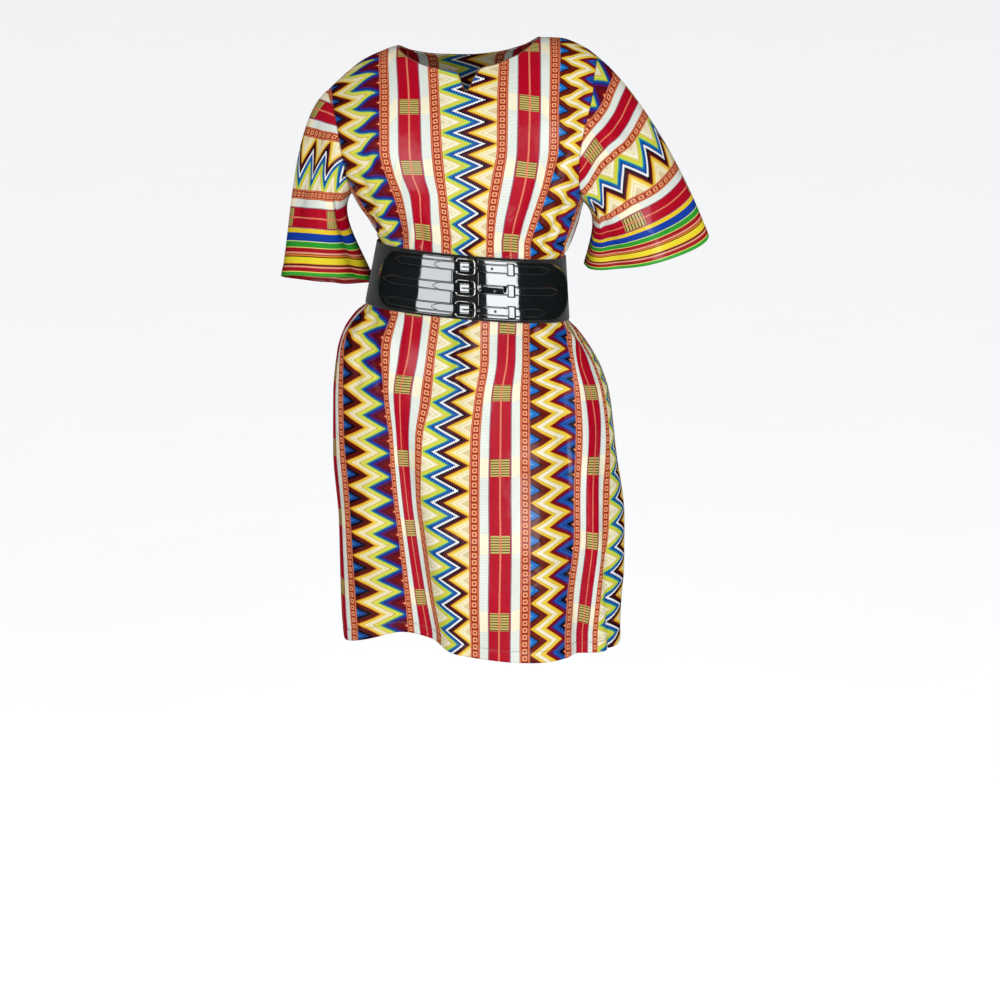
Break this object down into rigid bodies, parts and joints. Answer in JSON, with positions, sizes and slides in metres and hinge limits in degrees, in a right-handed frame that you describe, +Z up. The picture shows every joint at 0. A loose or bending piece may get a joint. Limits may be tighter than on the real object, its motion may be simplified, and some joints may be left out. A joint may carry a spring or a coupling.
{
  "type": "kaftan dress with waist belt",
  "caption": "Knee-length kaftan dress with wide half sleeves and a wide buckled elastic waist belt, standing open in the pose it is worn in.",
  "frame": {"origin": "middle of the line between the shoulder seams at the neck, where the wearer's shoulders hold the dress", "axes": "+Z up, -Y is the front of the dress, +X is the viewer's right when looking at the front"},
  "size_m": [0.674, 0.3119, 0.957],
  "materials": {
    "cotton": "waxed printed cotton with a soft sheen",
    "elastic": "matte woven elastic",
    "patent": "black patent, high gloss",
    "steel": "nickel plated"
  },
  "bodies": {
    "root": {"body_front": "cotton", "body_back": "cotton", "sleeve_left": "cotton", "sleeve_right": "cotton", "belt_elastic": "elastic", "belt_panel_left": "patent", "belt_panel_right": "patent", "strap_left_1": "patent", "strap_left_2": "patent", "strap_left_3": "patent", "strap_right_1": "patent", "strap_right_2": "patent", "strap_right_3": "patent", "keeper_1": "patent", "keeper_2": "patent", "keeper_3": "patent", "buckle_1": "steel", "buckle_2": "steel", "buckle_3": "steel", "prong_1": "steel", "prong_2": "steel", "prong_3": "steel"}
  },
  "joints": []
}
